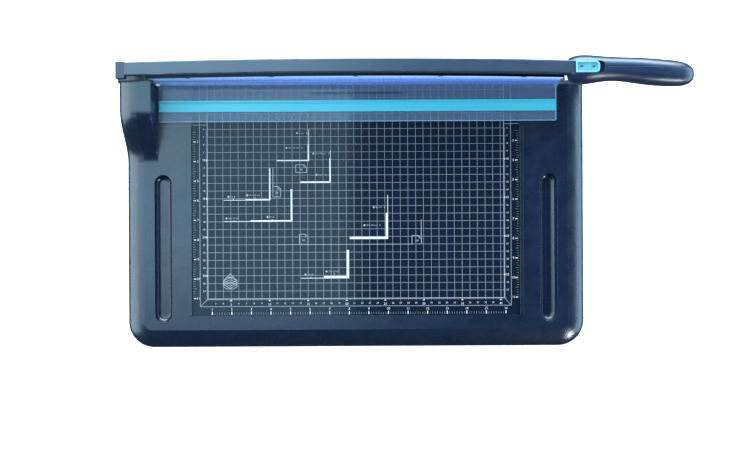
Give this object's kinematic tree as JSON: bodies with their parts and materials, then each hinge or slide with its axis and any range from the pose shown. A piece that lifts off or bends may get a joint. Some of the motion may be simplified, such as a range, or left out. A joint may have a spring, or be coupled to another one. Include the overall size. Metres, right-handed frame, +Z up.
{
  "type": "paper trimmer",
  "caption": "Lever-arm paper trimmer: flat bed with printed mat, arched blade arm with grip and sliding lock, pivot pedestal, clear sprung paper guard.",
  "frame": {"origin": "centre of the whole object's footprint box at rest (arm down), on the table plane under the feet", "axes": "+X along the cut from the pivot to the handle, +Y from the front edge to the blades, +Z up"},
  "size_m": [0.729, 0.3724, 0.0895],
  "materials": {
    "tray_plastic": "moulded satin navy charcoal",
    "mat_print": "glossy laminate, dark navy with a pale printed grid",
    "blade_steel": "ground",
    "zinc_steel": "zinc plated",
    "spring_steel": "bright",
    "arm_paint": "satin powder coat, slate navy",
    "cap_plastic": "satin",
    "nylon": "black nylon",
    "bush_brass": "machined",
    "rubber": "matte",
    "handle_plastic": "satin",
    "cyan_plastic": "bright cyan moulding",
    "clear_plastic": "clear acrylic",
    "strip_plastic": "satin cyan blue"
  },
  "bodies": {
    "root": {"base_tray": "tray_plastic", "printed_mat": "mat_print", "lower_blade": "blade_steel", "lower_blade_screws": "zinc_steel", "bed_rail": "zinc_steel", "pivot_bracket": "zinc_steel", "bracket_screws": "zinc_steel", "pivot_bolt": "zinc_steel", "disc_springs": "spring_steel", "pivot_spacer": "nylon", "pivot_washer": "zinc_steel", "pivot_nut": "zinc_steel", "catch_plate": "zinc_steel", "catch_screws": "zinc_steel", "arm_buffer": "rubber", "foot_front_left": "rubber", "foot_front_middle": "rubber", "foot_front_right": "rubber", "foot_rear_left": "rubber", "foot_rear_middle": "rubber", "foot_rear_right": "rubber"},
    "arm": {"arm_beam": "arm_paint", "arm_end_cap": "cap_plastic", "pivot_bush": "bush_brass", "upper_blade": "blade_steel", "upper_blade_screws": "zinc_steel", "handle_front": "handle_plastic", "handle_rear": "handle_plastic", "handle_screws": "zinc_steel", "detent_spring": "spring_steel"},
    "lock": {"lock_slider": "cyan_plastic", "latch_tongue": "zinc_steel"},
    "guard": {"guard_shield": "clear_plastic", "grip_strip": "strip_plastic", "guard_springs": "spring_steel", "peg_rings": "spring_steel"}
  },
  "joints": [
    {"name": "arm_lift", "type": "hinge", "parent": "root", "child": "arm", "pos_m": [-0.3425, 0.1701, 0.046], "axis": [0, -1, 0], "range_deg": [0, 70]},
    {"name": "lock_slide", "type": "slide", "parent": "arm", "child": "lock", "axis": [1, 0, 0], "range_m": [0, 0.0065]},
    {"name": "guard_press", "type": "slide", "parent": "root", "child": "guard", "axis": [0, 0, -1], "range_m": [0, 0.0022], "stiffness_N_per_m": 1200, "springref_m": -0.003, "deforming": ["guard_springs"]}
  ]
}
